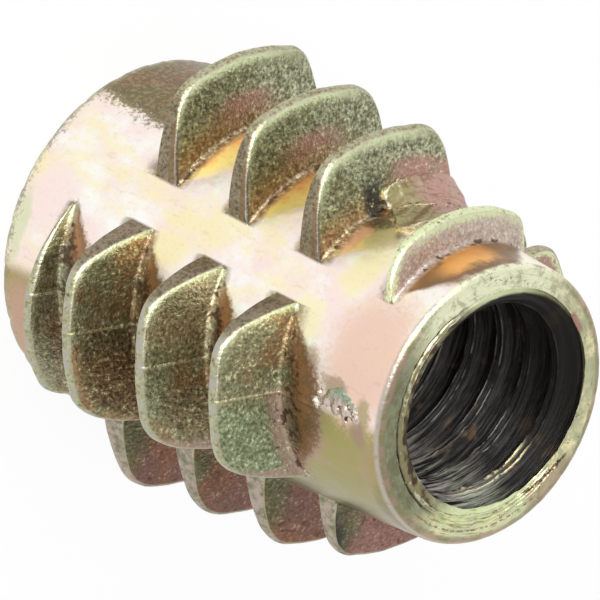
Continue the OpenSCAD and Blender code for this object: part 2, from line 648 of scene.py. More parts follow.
    def outer_rings(self, grid: Grid) -> None:
        """Adds the rounded outer edge of the pilot end, and then the side with its fins.

        Args:
            grid: Grid of the outside.
        """
        body = self.body
        for share in np.linspace(1.0, 0.0, self.round_rows)[:-1]:
            bend = math.radians(90.0 * share)
            radius = body.pilot_radius - body.pilot_round * (1 - math.cos(bend))
            drop = self.face.drop(self.turn % 360.0, radius * np.ones(len(self.turn))) * share
            top = body.length - body.pilot_round * (1 - math.sin(bend))
            self.add_ring(radius, top - drop, Zone.PILOT_RING)
        for row in range(grid["z"].shape[1]):
            z, q, zone = grid["z"][:, row], grid["q"][:, row], grid["zone"][:, row]
            radius = body.core_radius(z) + q
            rise = self.parting.rise(radius, self.turn)
            lead = zone == Zone.LEAD_FLANK.value
            trail = zone == Zone.TRAIL_FLANK.value
            radius = radius + rise * np.where(lead | trail, 0.0, np.where(q > 0, 1.0, 0.5))
            height = z + rise * lead - rise * trail
            self.rings.append(Ring(radius, height, zone, q / self.wood.height, grid["depth"][:, row]))

    def rim_rings(self) -> None:
        """Adds the rounded edge of the rim and the flat wide end."""
        body = self.body
        worn = body.rim_wear * np.clip(ripple((self.turn % 360.0) * 0.4, 2.7), 0.0, 1.0)
        for share in np.linspace(0.0, 1.0, self.round_rows):
            bend = math.radians(90.0 * share)
            radius = body.rim_radius - body.rim_round * (1 - math.cos(bend)) - worn
            self.add_ring(radius, body.rim_round * (1 - math.sin(bend)), Zone.CORE)
        wall = self.socket.radius(self.turn) + self.socket.edge
        rim = body.rim_radius - body.rim_round
        for share in (0.35, 0.75, 1.0):
            self.add_ring(rim + (wall - rim) * share, 0.0, Zone.CORE)

    def socket_rings(self) -> None:
        """Adds the walls and the floor of the drive socket."""
        socket = self.socket
        wall = socket.radius(self.turn)
        for share in (0.0, 0.33, 0.66, 1.0):
            self.add_ring(wall, socket.edge + (socket.depth - socket.edge) * share, Zone.SOCKET)
        for share in (0.35, 0.7):
            self.add_ring(wall + (self.machine.crest_radius - wall) * share, socket.depth, Zone.SOCKET)

    def bore_rings(self) -> None:
        """Adds the rings of the machine thread, which follow its helix, and then those of its mouth."""
        machine = self.machine
        low = self.socket.depth
        climb = self.turn / 360.0
        start = len(self.rings)
        first = math.floor(low / machine.pitch - 1.5)
        for whole in range(first, math.ceil(self.mouth_start / machine.pitch + 2.5)):
            for part in self.thread_rows:
                height = (whole + part + climb + machine.phase) * machine.pitch
                self.bore_ring(np.clip(height, low, self.mouth_start))
        self.bore_span = (start, len(self.rings))
        for height in np.linspace(self.mouth_start, self.body.length, self.mouth_rows + 1)[1:]:
            self.bore_ring(height * np.ones(len(self.turn)))

    def bore_ring(self, height: np.ndarray) -> None:
        """Adds one ring on the wall of the bore.

        Args:
            height: Height above the wide end, for each column.
        """
        machine = self.machine
        top = self.body.length
        turn = height / machine.pitch - self.turn / 360.0 - machine.phase
        slope = (machine.dish_radius - machine.crest_radius) / machine.dish_depth
        radius = np.maximum(machine.radius(turn), machine.dish_radius - (top - height) * slope)
        radius = radius - machine.burrs(turn, self.turn % 360.0, height)
        near = smooth_step((height - self.mouth_start) / (top - self.mouth_start))
        self.add_ring(radius, height - near * self.face.drop(self.turn % 360.0, radius), Zone.BORE)

    def face_rings(self) -> None:
        """Adds the annular face of the pilot end, from the mouth of the bore outwards."""
        mouth = self.rings[-1].radius
        edge = self.body.pilot_radius - self.body.pilot_round
        for share in np.arange(1, self.face_rows) / self.face_rows:
            radius = mouth + (edge - mouth) * share
            drop = self.face.drop(self.turn % 360.0, radius)
            self.add_ring(radius, self.body.length - drop, Zone.PILOT_RING)

    def faces(self) -> np.ndarray:
        """Faces between the rings. Past the last column the rings of the bore go on one turn higher.

        Returns:
            Point numbers of the faces.
        """
        rows, columns = len(self.rings), len(self.turn)
        grid = np.arange(rows * columns).reshape(rows, columns)
        start, stop = self.bore_span
        after = np.arange(rows)
        after[start:stop] = np.minimum(after[start:stop] + len(self.thread_rows), stop - 1)
        ahead = np.roll(grid, -1, 1)
        ahead[:, -1] = grid[after, 0]
        return np.stack([grid, ahead, np.roll(ahead, -1, 0), np.roll(grid, -1, 0)], -1).reshape(-1, 4)

    def mesh(self) -> bpy.types.Object:
        """Joins the rings into one closed mesh.

        Returns:
            The new object, with its masks stored on the mesh.
        """
        radius = np.array([r.radius for r in self.rings])
        height = np.array([r.height for r in self.rings])
        angle = np.radians(self.turn)[None, :]
        points = np.stack([radius * np.cos(angle), radius * np.sin(angle), height], -1).reshape(-1, 3)
        zone = np.array([r.zone for r in self.rings])
        masks = {kind.mask: zone == kind.value for kind in Zone}
        masks["lift"] = np.array([r.lift for r in self.rings])
        masks["depth"] = np.array([r.depth for r in self.rings])
        return add_piece("cast_body", points, self.faces(), masks)


def patch_faces(rows: int, columns: int) -> np.ndarray:
    """Faces of a closed thin patch: an upper grid and a lower one, numbered one after the other.

    Args:
        rows: Rows of points in each grid.
        columns: Columns of points in each grid.

    Returns:
        The faces of both grids and of the rim that joins them.
    """
    upper = np.arange(rows * columns).reshape(rows, columns)
    lower = upper + rows * columns
    faces = []
    for grid, sign in ((upper, 1), (lower, -1)):
        quads = np.stack([grid[:-1, :-1], grid[:-1, 1:], grid[1:, 1:], grid[1:, :-1]][::sign], -1)
        faces.append(quads.reshape(-1, 4))

    def border(grid: np.ndarray) -> np.ndarray:
        """Points along the border of a grid."""
        return np.concatenate([grid[0, :-1], grid[:-1, -1], grid[-1, :0:-1], grid[:0:-1, 0]])

    outer, inner = border(upper), border(lower)
    faces.append(np.stack([outer, inner, np.roll(inner, -1), np.roll(outer, -1)], -1))
    return np.concatenate(faces)


@dataclass(frozen=True)
class CastingFlash:
    """Scrap of thin flash in the root behind the first fin, torn off along its edge."""

    body: BodySizes = field(default_factory=BodySizes)
    wood: WoodThread = field(default_factory=WoodThread)
    fin: int = 4
    low_angle: float = 41.0
    high_angle: float = 94.5
    foot_length: float = 1.36 * MM
    flank_height: float = 0.56 * MM
    skin: float = 0.1 * MM
    sink: float = 0.08 * MM
    ridge: float = 0.1 * MM
    seam_near: float = 0.26 * MM
    seam_far: float = 0.66 * MM
    bulge: float = 0.16 * MM
    bulge_angle: float = 63.0
    dip: float = 0.1 * MM
    dip_angle: float = 84.0
    torn: float = 0.07 * MM
    torn_foot: float = 0.05 * MM
    missing_foot: float = 0.36 * MM
    broken_angle: float = 80.0
    tip_share: float = 0.24
    tip_span: float = 15.0
    lip: float = 0.03 * MM
    steps: int = 90
    foot_rows: int = 16
    flank_rows: int = 12

    def edge(self, angle: np.ndarray) -> np.ndarray:
        """Height of the torn upper edge above the core.

        Args:
            angle: Angles in degrees.

        Returns:
            The heights at these angles.
        """
        bulge = self.bulge * np.exp(-(((angle - self.bulge_angle) / 9.0) ** 2))
        bulge = bulge - self.dip * smooth_step((angle - self.dip_angle) / 9.0)
        torn = self.torn * ripple(angle * 0.55, 2.0) * window(angle, 70.0, 110.0, 14.0)
        close = 0.04 + 0.96 * smooth_step((angle - self.low_angle) / 18.0)
        return (self.flank_height + bulge + torn) * close

    def build(self) -> bpy.types.Object:
        """Makes the flash: over the core up to its seam, and on up the flank of the fin behind it.

        Returns:
            The new object.
        """
        angle = np.linspace(self.low_angle, self.high_angle, self.steps)[None, :]
        along = np.linspace(0.0, 1.0, self.foot_rows + self.flank_rows)[:, None]
        corner = self.foot_rows / (self.foot_rows + self.flank_rows)
        root = self.wood.root_z(self.fin, 0.0) + self.wood.pitch * (angle - 90.0) / 360.0
        foot = np.clip(1 - along / corner, 0.0, 1.0)
        climb = np.clip((along - corner) / (1 - corner), 0.0, 1.0)
        tear = self.torn_foot * ripple(angle * 0.8, 4.0)
        tear = tear + self.missing_foot * smooth_step((angle - 88.0) / 7.0)
        narrow = smooth_step((angle - self.low_angle) / self.tip_span)
        narrow = self.tip_share + (1 - self.tip_share) * narrow
        z = root + foot * (self.foot_length - tear) * narrow
        core = self.body.core_radius(z)
        seam_z = self.seam_near + (self.seam_far - self.seam_near) * (self.high_angle - angle) / 27.0
        seam_z = seam_z * smooth_step((angle - self.low_angle) / 14.0)
        q = climb * self.edge(angle)
        lead = self.wood.lead_slope
        swell = 1 + 0.35 * ripple(angle * 0.3 + along * 9.0, 0.7)
        seam = self.ridge * np.exp(-(((along - corner) / 0.05) ** 2))
        seam = seam * (0.6 + 0.4 * ripple(angle * 0.9, 6.0))
        thick = (self.skin * swell + seam) * (1 - 0.9 * smooth_step((climb - 0.7) / 0.3)) * narrow
        left = smooth_step((self.high_angle - angle) / 1.2)
        turn = np.where(along < corner, 0.0, 1.0)
        bend = smooth_step((along - corner + 0.06) / 0.12)
        thick = thick + self.lip * np.exp(-((self.high_angle - 1.0 - angle) ** 2))
        outer_r = core + q + thick * (1 - 0.75 * bend) * left
        lifted = thick * (0.25 + 0.75 * bend) * left * smooth_step((along - corner + 0.3) / 0.3)
        outer_z = z - q * lead + lifted + seam_z * np.where(along < corner, 1 - foot, (1 - climb) ** 1.2)
        inner_r = core + q - self.sink * (1 - turn * 0.5)
        inner_z = z - q * lead - self.sink * turn
        slant = np.where(along < corner, 7.0 * foot**0.9, -1.5 * climb) - 1.0
        slant = slant + 0.8 * ripple(along * 16.0, 8.0)
        bow = np.radians(angle + slant * smooth_step((angle - self.broken_angle) / 12.0))
        ones = np.ones_like(bow)
        grids = [(outer_r, outer_z), (inner_r, inner_z)]
        grids = [np.stack([r * np.cos(bow), r * np.sin(bow), h * ones], -1) for r, h in grids]
        points = np.concatenate([grid.reshape(-1, 3) for grid in grids])
        rows, columns = bow.shape
        torn = smooth_step((angle - self.broken_angle) / 5.0)
        border = left * (1 - torn * (1 - smooth_step(along / 0.08)))
        border = border * (1 - torn * smooth_step((climb - 0.88) / 0.12))
        masks = {"border": border, "seam": seam / self.ridge, "pit": 0.0 * border}
        masks = {key: np.tile((values * ones).ravel(), 2) for key, values in masks.items()}
        return add_piece("casting_flash", points, patch_faces(rows, columns), masks)


@dataclass(frozen=True)
class CastingScar:
    """Small scar of a few low lumps on the parting line near the pilot end.

    Each lump is an angle in degrees, a height z in millimetres, a radius in millimetres and a height
    above the core in millimetres. Each pit is the same, with its depth at the end.
    """

    body: BodySizes = field(default_factory=BodySizes)
    lumps: Tuple[Tuple[float, float, float, float], ...] = (
        (171.9, 10.92, 0.09, 0.12), (175.2, 10.82, 0.09, 0.12), (177.1, 10.91, 0.09, 0.11),
        (177.0, 11.08, 0.1, 0.09), (174.0, 11.19, 0.15, 0.11), (170.5, 11.32, 0.17, 0.1),
        (168.5, 11.6, 0.18, 0.1), (171.9, 11.57, 0.16, 0.1), (175.5, 11.51, 0.15, 0.12),
        (174.8, 11.84, 0.17, 0.12), (172.9, 12.12, 0.15, 0.1), (177.7, 11.9, 0.12, 0.1),
        (176.1, 12.19, 0.12, 0.1), (170.5, 11.9, 0.15, 0.08),
    )
    pits: Tuple[Tuple[float, float, float, float], ...] = (
        (177.0, 11.96, 0.06, 0.13), (174.2, 12.1, 0.05, 0.1), (172.2, 11.94, 0.05, 0.1),
        (170.6, 12.16, 0.04, 0.08), (177.2, 11.72, 0.04, 0.08), (176.4, 11.3, 0.06, 0.08),
        (173.8, 11.66, 0.04, 0.08),
    )
    bare_height: float = 11.0
    grain: float = 0.03
    middle: Tuple[float, float] = (172.8, 11.55)
    reach: Tuple[float, float] = (10.0, 0.95)
    sink: float = 0.05 * MM
    rows: int = 60
    columns: int = 72

    def heap(
        self, shapes: Sequence[Tuple[float, ...]], angle: np.ndarray, z: np.ndarray, core: np.ndarray
    ) -> np.ndarray:
        """Summed height of rounded lumps in millimetres.

        Args:
            shapes: The lumps or the pits.
            angle: Angles of the points in degrees.
            z: Heights of the points.
            core: Radii of the core at the points.

        Returns:
            The heights at the points.
        """
        total = np.zeros_like(angle)
        for turn, along, size, high in shapes:
            side = np.radians(angle - turn) * core / MM
            total += high * np.exp(-((side**2 + (z / MM - along) ** 2) / size**2))
        return total

    def build(self) -> bpy.types.Object:
        """Makes the scar as a thin patch whose lumps come out of the core.

        Returns:
            The new object.
        """
        z = (self.middle[1] + self.reach[1] * np.linspace(-1.0, 1.0, self.columns)[None, :]) * MM
        angle = np.linspace(-1.0, 1.0, self.rows)[:, None] * self.reach[0] + self.middle[0] + 0.0 * z
        z = z + 0.0 * angle
        core = self.body.core_radius(z)
        height, pit = (self.heap(shapes, angle, z, core) for shapes in (self.lumps, self.pits))
        crumbs = ripple(angle * 3.1 + z / MM * 17.0, 2.0) * ripple(angle * 1.7 - z / MM * 23.0, 5.0)
        grain = self.grain * crumbs * np.clip(height / 0.05, 0.0, 1.0) - pit
        outer = core + (height + grain) * MM - self.sink
        bend = np.radians(angle)
        grids = [np.stack([r * np.cos(bend), r * np.sin(bend), z], -1) for r in (outer, core - 3 * self.sink)]
        points = np.concatenate([g.reshape(-1, 3) for g in grids])
        border = np.clip((height * MM / self.sink - 1.0) * 1.5 + 0.5, 0.0, 1.0)
        border = np.maximum(border, smooth_step((z / MM - self.bare_height) / 0.2))
        masks = {"border": border, "pit": np.clip(pit / 0.06, 0.0, 1.0), "seam": 0.0 * border}
        masks = {key: np.tile(values.ravel(), 2) for key, values in masks.items()}
        return add_piece("casting_scar", points, patch_faces(*angle.shape), masks)


class Tone:
    """Value, colour or vector that a node gives, with the steps that take it further."""

    def __init__(self, sheet: "NodeSheet", socket: Socket) -> None:
        """Keeps the sheet that the node is on, and the node's output."""
        self.sheet = sheet
        self.socket = socket

    def __add__(self, other: Number) -> "Tone":
        """This value plus another."""
        return self.sheet.math("ADD", self, other)

    def __radd__(self, other: float) -> "Tone":
        """A number plus this value."""
        return self.sheet.math("ADD", other, self)

    def __sub__(self, other: Number) -> "Tone":
        """This value minus another."""
        return self.sheet.math("SUBTRACT", self, other)

    def __rsub__(self, other: float) -> "Tone":
        """A number minus this value."""
        return self.sheet.math("SUBTRACT", other, self)

    def __mul__(self, other: Number) -> "Tone":
        """This value times another."""
        return self.sheet.math("MULTIPLY", self, other)

    def __truediv__(self, other: Number) -> "Tone":
        """This value divided by another."""
        return self.sheet.math("DIVIDE", self, other)

    def __abs__(self) -> "Tone":
        """This value without its sign."""
        return self.sheet.math("ABSOLUTE", self)

    def most(self, other: Number) -> "Tone":
        """The larger of this value and another."""
        return self.sheet.math("MAXIMUM", self, other)

    def fraction(self) -> "Tone":
        """What this value has beyond the whole number below it."""
        return self.sheet.math("FRACT", self)

    def wrapped(self) -> "Tone":
        """This angle as one between -180 and 180 degrees."""
        return self.sheet.math("WRAP", self, 180.0, -180.0)

    def rise(self, low: float, high: float, reach: float = 1.0) -> "Tone":
        """Smooth rise from 0 to reach as this value goes from low to high."""
        return self.sheet.ease(self, low, high, 0.0, reach)

    def fall(self, low: float, high: float, reach: float = 1.0) -> "Tone":
        """Smooth fall from reach to 0 as this value goes from low to high."""
        return self.sheet.ease(self, low, high, reach, 0.0)

    def band(self, low: float, high: float, soft: float) -> "Tone":
        """1 between low and high and 0 outside, with soft borders."""
        return self.rise(low - soft, low + soft) * self.fall(high - soft, high + soft)

    def mix(self, low: Paint, high: Paint) -> "Tone":
        """Colour that goes from low to high as this value goes from 0 to 1."""
        return self.sheet.mix(self, low, high)

    def lay(self, colour: Paint, share: Number) -> "Tone":
        """This colour with another one laid over it, by a share from 0 to 1."""
        return self.sheet.mix(share, self, colour)

    def ramp(self, *stops: Tuple[float, Colour]) -> "Tone":
        """Colour that runs through the stops as this value goes from 0 to 1.

        Args:
            stops: Places from 0 to 1, each with its colour.

        Returns:
            The colour.
        """
        node = self.sheet.tree.nodes.new("ShaderNodeValToRGB")
        band = node.color_ramp
        for place, colour in stops[1:-1]:
            band.elements.new(place).color = (*colour, 1.0)
        for element, (place, colour) in zip((band.elements[0], band.elements[-1]), (stops[0], stops[-1])):
            element.position = place
            element.color = (*colour, 1.0)
        self.sheet.feed(node.inputs[0], self)
        return Tone(self.sheet, node.outputs[0])


class NodeSheet:
    """Lays out the shader nodes of one material."""

    def __init__(self, name: str) -> None:
        """Makes an empty material.

        Args:
            name: Name of the material.
        """
        self.material = bpy.data.materials.new(name)
        self.material.use_nodes = True
        self.tree = self.material.node_tree
        self.shader = self.tree.nodes["Principled BSDF"]

    def feed(self, slot: Socket, value: Feed) -> None:
        """Links a value to a slot, or writes a number or colour into it.

        Args:
            slot: Input of a node.
            value: What goes into it.
        """
        if isinstance(value, Tone):
            self.tree.links.new(value.socket, slot)
        elif isinstance(value, tuple) and slot.type == "RGBA":
            slot.default_value = (*value, 1.0)
        else:
            slot.default_value = value

    def node(self, kind: str, inputs: Dict[Key, Feed], output: Key = 0, **options: str) -> Tone:
        """Adds one node.

        Args:
            kind: Kind of node.
            inputs: What goes into it, by the number or name of the input.
            output: Number or name of the output to use.
            options: Settings of the node, by name.

        Returns:
            What the node gives.
        """
        node = self.tree.nodes.new(kind)
        for key, option in options.items():
            setattr(node, key, option)
        for key, value in inputs.items():
            self.feed(node.inputs[key], value)
        return Tone(self, node.outputs[output])

    def math(self, operation: str, *values: Number) -> Tone:
        """Result of a math operation on the values."""
        return self.node("ShaderNodeMath", dict(enumerate(values)), operation=operation)

    def ease(self, value: Tone, low: float, high: float, start: float, end: float) -> Tone:
        """Value that goes smoothly from start to end as another one goes from low to high."""
        inputs = {"Value": value, "From Min": low, "From Max": high, "To Min": start, "To Max": end}
        return self.node("ShaderNodeMapRange", inputs, "Result", interpolation_type="SMOOTHSTEP")

    def mix(self, share: Number, low: Paint, high: Paint) -> Tone:
        """Colour that goes from low to high as the share goes from 0 to 1."""
        return self.node("ShaderNodeMix", {0: share, 6: low, 7: high}, 2, data_type="RGBA")

    def noise(self, vector: Tone, scale: float, detail: float, rough: float) -> Tone:
        """Noise between 0 and 1, with the scale in waves for each unit of the vector."""
        inputs = {"Vector": vector, "Scale": scale, "Detail": detail, "Roughness": rough}
        return self.node("ShaderNodeTexNoise", inputs, "Fac")

    def join(self, x: Number, y: Number, z: Number) -> Tone:
        """Vector with these three parts."""
        return self.node("ShaderNodeCombineXYZ", {0: x, 1: y, 2: z})

    def stretch(self, vector: Tone, factors: Triple) -> Tone:
        """Vector with each part multiplied by its factor."""
        return self.node("ShaderNodeVectorMath", {0: vector, 1: factors}, operation="MULTIPLY")

    def finish(
        self, colour: Paint, roughness: Number, height: Tone, relief: float, metal: Number = 1.0
    ) -> bpy.types.Material:
        """Connects the shader.

        Args:
            colour: Colour of the metal.
            roughness: Roughness of its surface.
            height: Height map of the fine relief, from 0 to 1.
            relief: Height of this relief in metres.
            metal: 1 for bare metal, and less where the film on it is thicker and scatters light.

        Returns:
            The material.
        """
        normal = self.node("ShaderNodeBump", {"Distance": relief, "Height": height}, "Normal")
        looks = {"Normal": normal, "Metallic": metal, "Base Color": colour, "Roughness": roughness}
        for key, value in looks.items():
            self.feed(self.shader.inputs[key], value)
        return self.material


class Place:
    """Where the shaded point lies on the insert, in millimetres and degrees."""

    def __init__(self, sheet: NodeSheet, thread: WoodThread) -> None:
        """Lays out the nodes for the coordinates.

        Args:
            sheet: Sheet of the material.
            thread: Sizes of the wood thread, for the helical coordinate.
        """
        self.sheet = sheet
        self.mm = sheet.stretch(sheet.node("ShaderNodeTexCoord", {}, "Object"), (1 / MM, 1 / MM, 1 / MM))
        self.x, self.y, self.z = (sheet.node("ShaderNodeSeparateXYZ", {0: self.mm}, part) for part in "XYZ")
        self.radius = sheet.math("SQRT", self.x * self.x + self.y * self.y)
        self.angle = sheet.math("ARCTAN2", self.y, self.x) * (180 / math.pi)
        # folded from 0 at +X through 1 at -X back to 0, so that it has no jump
        folded = abs(self.angle) / 180.0
        polar = sheet.join(folded * 9.0, self.radius, self.y / 3.0)
        self.polar = sheet.stretch(polar, (1.6, 19.0, 1.0))
        self.rough = self.noise(9.0, 3.0, 0.7) - 0.5
        bend = self.noise(1.6, 3.0, 0.5)
        self.bent_angle = bend * 10.0 + (self.angle - 5.0)
        self.bent_z = bend * -0.4 + (self.z + 0.2)
        climb = (self.z - thread.first_z / MM) / (thread.pitch / MM)
        turned = (self.angle - 90.0) / 360.0
        # 0 on the leading root of a fin, and 1 - root thickness / pitch on the trailing root above it
        self.valley = (climb - turned).fraction()

    def mask(self, name: str) -> Tone:
        """Value stored on the mesh under this name."""
        return self.sheet.node("ShaderNodeAttribute", {}, "Fac", attribute_name=name)

    def noise(
        self, scale: float, detail: float = 2.0, rough: float = 0.5, stretch: Triple = (1.0, 1.0, 1.0)
    ) -> Tone:
        """Noise over the insert, with the scale in waves for each millimetre."""
        vector = self.mm if stretch == (1.0, 1.0, 1.0) else self.sheet.stretch(self.mm, stretch)
        return self.sheet.noise(vector, scale, detail, rough)

    def away(self, middle: Number) -> Tone:
        """Angle between the shaded point and the middle angle, without its sign."""
        return abs((self.angle - middle).wrapped())

    def around(self, middle: Number, reach: float, soft: float) -> Tone:
        """1 within reach of the middle angle and 0 beyond it, with soft borders, in degrees."""
        return self.away(middle).fall(reach - soft, reach + soft)

    def spot(self, angle: float, z: float, wide: float, high: float) -> Tone:
        """Uneven oval spot on the side.

        Args:
            angle: Angle of its middle.
            z: Height of its middle.
            wide: Half its width, in degrees.
            high: Half its height.

        Returns:
            1 in the spot and 0 outside.
        """
        across = (self.bent_angle - angle).wrapped() / wide
        along = (self.bent_z - z) / high
        squares = across * across + along * along
        return (self.rough * 1.6 + squares).fall(0.2, 1.4)


@dataclass(frozen=True)
class FilmColours:
    """Colours of the chromate film on the zinc."""

    cream: Colour = (0.99, 0.99, 0.95)
    pale_gold: Colour = (0.97, 0.87, 0.52)
    pink: Colour = (0.97, 0.80, 0.75)
    peach: Colour = (0.86, 0.60, 0.48)
    honey: Colour = (0.38, 0.34, 0.13)
    dusk: Colour = (0.44, 0.31, 0.24)
    rose: Colour = (0.46, 0.26, 0.21)
    gold: Colour = (0.99, 0.75, 0.24)
    orange: Colour = (0.95, 0.48, 0.15)
    rusty: Colour = (0.42, 0.22, 0.11)
    lime: Colour = (0.78, 0.85, 0.52)
    sage: Colour = (0.52, 0.53, 0.34)
    olive: Colour = (0.30, 0.27, 0.14)
    moss: Colour = (0.17, 0.17, 0.09)
    brown: Colour = (0.26, 0.155, 0.08)
    umber: Colour = (0.09, 0.055, 0.035)
    mauve: Colour = (0.46, 0.44, 0.39)
    slate: Colour = (0.05, 0.052, 0.056)
    white: Colour = (0.95, 0.95, 0.88)


@dataclass(frozen=True)
class ColourPatch:
    """Patch of another colour on the side of the insert, with its middle and its reach, used for stains of
    the film and for painted shadows.
    """

    angle: float
    z: float
    wide: float
    high: float
    colour: Colour
    strength: float = 0.9


@dataclass(frozen=True)
class ChromateFilm:
    """Yellow chromate film on die-cast zinc: smooth and bright on the core, grainy on the fins."""

    colours: FilmColours = field(default_factory=FilmColours)
    thread: WoodThread = field(default_factory=WoodThread)
    grain_scale: float = 11.0
    relief: float = 0.024 * MM

    def core_stains_and_shadows(self) -> Tuple[ColourPatch, ...]:
        """Stains on the smooth core, from the pilot end to the rim, and two painted shadows of the flash."""
        c = self.colours
        return (
            ColourPatch(152.0, 12.1, 30.0, 1.4, c.peach, 0.9),
            ColourPatch(148.0, 9.8, 8.0, 0.7, c.pale_gold, 0.8),
            ColourPatch(122.0, 10.5, 14.0, 0.5, c.pale_gold),
            ColourPatch(165.0, 10.4, 9.0, 0.3, c.rusty, 0.6),
            ColourPatch(167.0, 11.35, 4.0, 0.5, (0.34, 0.26, 0.15), 0.7),
            ColourPatch(174.0, 12.4, 9.0, 0.22, (0.42, 0.36, 0.17), 0.8),
            ColourPatch(183.0, 12.25, 6.0, 0.3, (0.38, 0.26, 0.20), 0.8),
            ColourPatch(200.0, 12.45, 14.0, 0.2, (0.42, 0.32, 0.20), 0.5),
            ColourPatch(222.0, 12.7, 18.0, 0.34, (0.24, 0.20, 0.15), 0.6),
            ColourPatch(198.0, 1.0, 20.0, 1.5, (0.57, 0.36, 0.27), 0.9),
            ColourPatch(105.0, 10.1, 9.0, 0.5, (0.58, 0.50, 0.26), 0.85),
            ColourPatch(113.0, 9.5, 9.0, 0.26, (0.95, 0.52, 0.34)),
            # painted shadow that the flash casts on the core beside and below it
            ColourPatch(100.0, 9.45, 6.0, 0.4, c.slate, 0.8),
            ColourPatch(98.0, 10.3, 6.0, 0.16, c.slate, 0.6),
            ColourPatch(30.0, 11.6, 30.0, 1.4, c.dusk),
            ColourPatch(133.0, 6.2, 9.0, 0.6, c.pale_gold, 0.6),
            ColourPatch(148.0, 5.0, 7.0, 0.7, c.pale_gold),
            ColourPatch(150.0, 1.2, 12.0, 0.9, c.pink, 0.9),
            ColourPatch(163.0, 0.4, 14.0, 0.24, (0.66, 0.72, 0.40), 0.65),
        )

    def golden_bay(self, place: Place) -> Tuple[Tone, Tone]:
        """Golden bay between two upper fins.

        Args:
            place: Where the shaded point lies.

        Returns:
            The place across the bay, from 0 to 1, and the share of the surface that lies in it.
        """
        uneven = place.noise(2.4, 3.0, 0.6) - 0.5
        below = place.z.fall(10.7, 11.2) * place.z.rise(2.6, 3.4)
        width = place.away(92.0).fall(12.0, 40.0, 0.5)
        bay = uneven * 0.8 + place.valley / (width + 0.01) + place.rough * 0.4
        return bay, bay.fall(0.7, 1.3) * below * width.rise(0.02, 0.12)

    def core(self, place: Place, bay: Tone, in_bay: Tone) -> Tone:
        """Colour of the smooth core: cream and pink, gold in the upper valleys, olive and painted shade on
        the lower half.

        Args:
            place: Where the shaded point lies.
            bay: Place across the golden bay.
            in_bay: Share of the surface that lies in the bay.

        Returns:
            The colour.
        """
        c = self.colours
        around, z = place.around, place.z
        cloud = place.noise(0.55, 5.0, 0.62)
        cloth = place.noise(1.2, 6.0, 0.68, stretch=(1.0, 1.0, 0.5))
        fine = place.noise(6.0, 3.0, 0.6, stretch=(1.0, 1.0, 0.3))
        uneven = place.noise(2.4, 3.0, 0.6) - 0.5
        shade = cloud.rise(0.36, 0.62).mix(c.cream, c.pink)
        shade = shade.lay(c.pale_gold, cloth.rise(0.42, 0.72))
        # honey and olive on the lower half, darker as painted shade on the side turned from the light
        side = (place.bent_angle - 235.0).wrapped()
        fade = (place.rough * 24.0 + side).fall(24.0, 60.0)
        lower = around(235.0, 58.0, 3.0) * fade
        dull = cloth.rise(0.46, 0.7).mix(c.honey, (0.44, 0.33, 0.19))
        shade = shade.lay(dull, lower)
        shade = shade.lay(c.olive, around(250.0, 40.0, 20.0) * lower * 0.85)
        # gold between the fins at 90 degrees, and then the stains and the painted shadows of the flash
        golden = bay.ramp(
            (0.0, c.orange), (0.2, c.orange), (0.45, c.gold), (0.8, (0.86, 0.7, 0.3)), (1.0, c.peach)
        )
        shade = shade.lay(golden, in_bay)
        for patch in self.core_stains_and_shadows():
            share = place.spot(patch.angle, patch.z, patch.wide, patch.high)
            shade = shade.lay(patch.colour, share * patch.strength)
        # rusty pocket in front of the first upper fin
        width = place.away(90.0).fall(8.0, 40.0, 0.56)
        pocket = uneven * 0.6 + place.valley / (width + 0.01)
        rusty = pocket.ramp((0.0, c.brown), (0.2, c.orange), (0.5, c.orange), (0.75, c.brown), (1.0, c.dusk))
        rusty = rusty.lay(c.brown, place.away(94.0).rise(7.0, 18.0, 0.85))
        share = pocket.fall(0.8, 1.2) * width.rise(0.02, 0.12) * z.rise(11.2, 11.3)
        shade = shade.lay(rusty, share)
        # painted shadow in strips in front of the fins at 180 degrees
        width = place.away(180.0).fall(6.0, 37.0, 0.54)
        strip = uneven * 0.6 + place.valley / (width + 0.005) + place.rough * 0.9
        shadow = strip.ramp((0.0, c.umber), (0.25, c.umber), (0.5, c.rusty), (0.8, c.brown), (1.0, c.dusk))
        inside = z.fall(10.9, 11.3) * z.rise(1.5, 1.8)
        shade = shade.lay(shadow, strip.fall(0.85, 1.3) * width.rise(0.01, 0.08) * inside)
        # painted shade on the side of the flare turned from the bright reflection, and the rim
        border = place.rough * 16.0 + (74.0 + place.noise(3.0, 3.0) * 8.0)
        shaded_flare = around(border, 34.0, 2.0) * z.fall(2.9, 3.3)
        flare = cloud.rise(0.4, 0.6).mix((0.36, 0.24, 0.14), c.olive)
        flare = place.rough.rise(-0.06, 0.12).mix(flare.lay(c.umber, 0.5), flare)
        shade = shade.lay(flare, shaded_flare)
        rim = (z + place.rough).fall(0.12, 0.34)
        shade = shade.lay(cloth.rise(0.4, 0.6).mix(c.olive, c.sage), rim * 0.85)
        shade = shade.lay(c.dusk, fine.rise(0.6, 0.72, 0.16))
        return shade.lay(cloud.mix(c.rose, c.olive), place.rough.rise(0.0, 0.3, 0.16))

    def lead(self, place: Place, speckle: Tone) -> Tone:
        """Colour of the leading flanks: speckled green, with rose and orange zones, painted glints and a
        painted lime highlight on the upper edge.

        Args:
            place: Where the shaded point lies.
            speckle: Fine grain of the film.

        Returns:
            The colour.
        """
        c = self.colours
        around, z = place.around, place.z
        depth = place.mask("depth")
        lift = place.mask("lift")
        cloud = place.noise(0.8, 3.0, 0.55)
        dark = speckle.rise(0.34, 0.66)
        shade = dark.mix((0.12, 0.12, 0.065), (0.64, 0.66, 0.44))
        shade = shade.lay(dark.mix(c.moss, c.olive), cloud.rise(0.46, 0.62, 0.6))
        clump = place.noise(4.5, 4.0, 0.7)
        shade = shade.lay(c.moss, clump.fall(0.34, 0.52, 0.6))
        shade = shade.lay((0.62, 0.64, 0.44), clump.rise(0.54, 0.66, 0.5))
